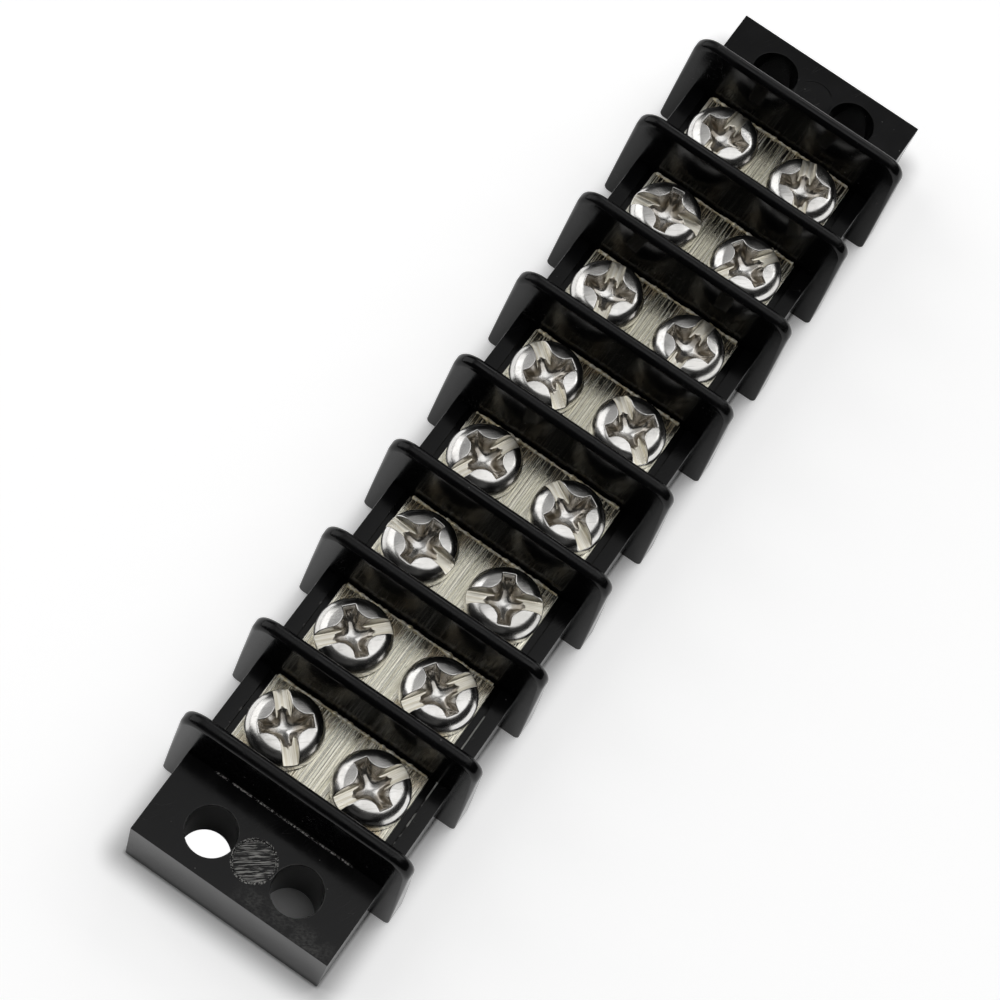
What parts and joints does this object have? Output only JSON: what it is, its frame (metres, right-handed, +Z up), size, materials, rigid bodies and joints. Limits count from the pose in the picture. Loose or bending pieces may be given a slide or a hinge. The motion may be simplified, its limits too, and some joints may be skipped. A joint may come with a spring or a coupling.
{
  "type": "barrier terminal strip",
  "caption": "Double-row barrier terminal strip: black moulded base with upright barriers, plated straps, pan-head terminal screws and drilled mounting flanges.",
  "frame": {"origin": "centre of the underside of the base", "axes": "+X along the strip, +Y across it between the two rows of screws, +Z up from the mounting surface"},
  "size_m": [0.093, 0.0218, 0.0128],
  "materials": {
    "moulding": "gloss black thermoplastic",
    "strap": "nickel-plated brass, brushed along the strip",
    "screw": "bright nickel-plated steel"
  },
  "bodies": {
    "base": {"housing": "moulding", "strap_1": "strap", "strap_2": "strap", "strap_3": "strap", "strap_4": "strap", "strap_5": "strap", "strap_6": "strap", "strap_7": "strap", "strap_8": "strap"},
    "screw_1_left": {"screw_1_left": "screw"},
    "screw_2_left": {"screw_2_left": "screw"},
    "screw_3_left": {"screw_3_left": "screw"},
    "screw_4_left": {"screw_4_left": "screw"},
    "screw_5_left": {"screw_5_left": "screw"},
    "screw_6_left": {"screw_6_left": "screw"},
    "screw_7_left": {"screw_7_left": "screw"},
    "screw_8_left": {"screw_8_left": "screw"},
    "screw_1_right": {"screw_1_right": "screw"},
    "screw_2_right": {"screw_2_right": "screw"},
    "screw_3_right": {"screw_3_right": "screw"},
    "screw_4_right": {"screw_4_right": "screw"},
    "screw_5_right": {"screw_5_right": "screw"},
    "screw_6_right": {"screw_6_right": "screw"},
    "screw_7_right": {"screw_7_right": "screw"},
    "screw_8_right": {"screw_8_right": "screw"}
  },
  "joints": [
    {"name": "unscrew_1_left", "type": "slide", "parent": "base", "child": "screw_1_left", "axis": [0, 0, 1], "range_m": [0, 0.005]},
    {"name": "unscrew_2_left", "type": "slide", "parent": "base", "child": "screw_2_left", "axis": [0, 0, 1], "range_m": [0, 0.005]},
    {"name": "unscrew_3_left", "type": "slide", "parent": "base", "child": "screw_3_left", "axis": [0, 0, 1], "range_m": [0, 0.005]},
    {"name": "unscrew_4_left", "type": "slide", "parent": "base", "child": "screw_4_left", "axis": [0, 0, 1], "range_m": [0, 0.005]},
    {"name": "unscrew_5_left", "type": "slide", "parent": "base", "child": "screw_5_left", "axis": [0, 0, 1], "range_m": [0, 0.005]},
    {"name": "unscrew_6_left", "type": "slide", "parent": "base", "child": "screw_6_left", "axis": [0, 0, 1], "range_m": [0, 0.005]},
    {"name": "unscrew_7_left", "type": "slide", "parent": "base", "child": "screw_7_left", "axis": [0, 0, 1], "range_m": [0, 0.005]},
    {"name": "unscrew_8_left", "type": "slide", "parent": "base", "child": "screw_8_left", "axis": [0, 0, 1], "range_m": [0, 0.005]},
    {"name": "unscrew_1_right", "type": "slide", "parent": "base", "child": "screw_1_right", "axis": [0, 0, 1], "range_m": [0, 0.005]},
    {"name": "unscrew_2_right", "type": "slide", "parent": "base", "child": "screw_2_right", "axis": [0, 0, 1], "range_m": [0, 0.005]},
    {"name": "unscrew_3_right", "type": "slide", "parent": "base", "child": "screw_3_right", "axis": [0, 0, 1], "range_m": [0, 0.005]},
    {"name": "unscrew_4_right", "type": "slide", "parent": "base", "child": "screw_4_right", "axis": [0, 0, 1], "range_m": [0, 0.005]},
    {"name": "unscrew_5_right", "type": "slide", "parent": "base", "child": "screw_5_right", "axis": [0, 0, 1], "range_m": [0, 0.005]},
    {"name": "unscrew_6_right", "type": "slide", "parent": "base", "child": "screw_6_right", "axis": [0, 0, 1], "range_m": [0, 0.005]},
    {"name": "unscrew_7_right", "type": "slide", "parent": "base", "child": "screw_7_right", "axis": [0, 0, 1], "range_m": [0, 0.005]},
    {"name": "unscrew_8_right", "type": "slide", "parent": "base", "child": "screw_8_right", "axis": [0, 0, 1], "range_m": [0, 0.005]}
  ]
}
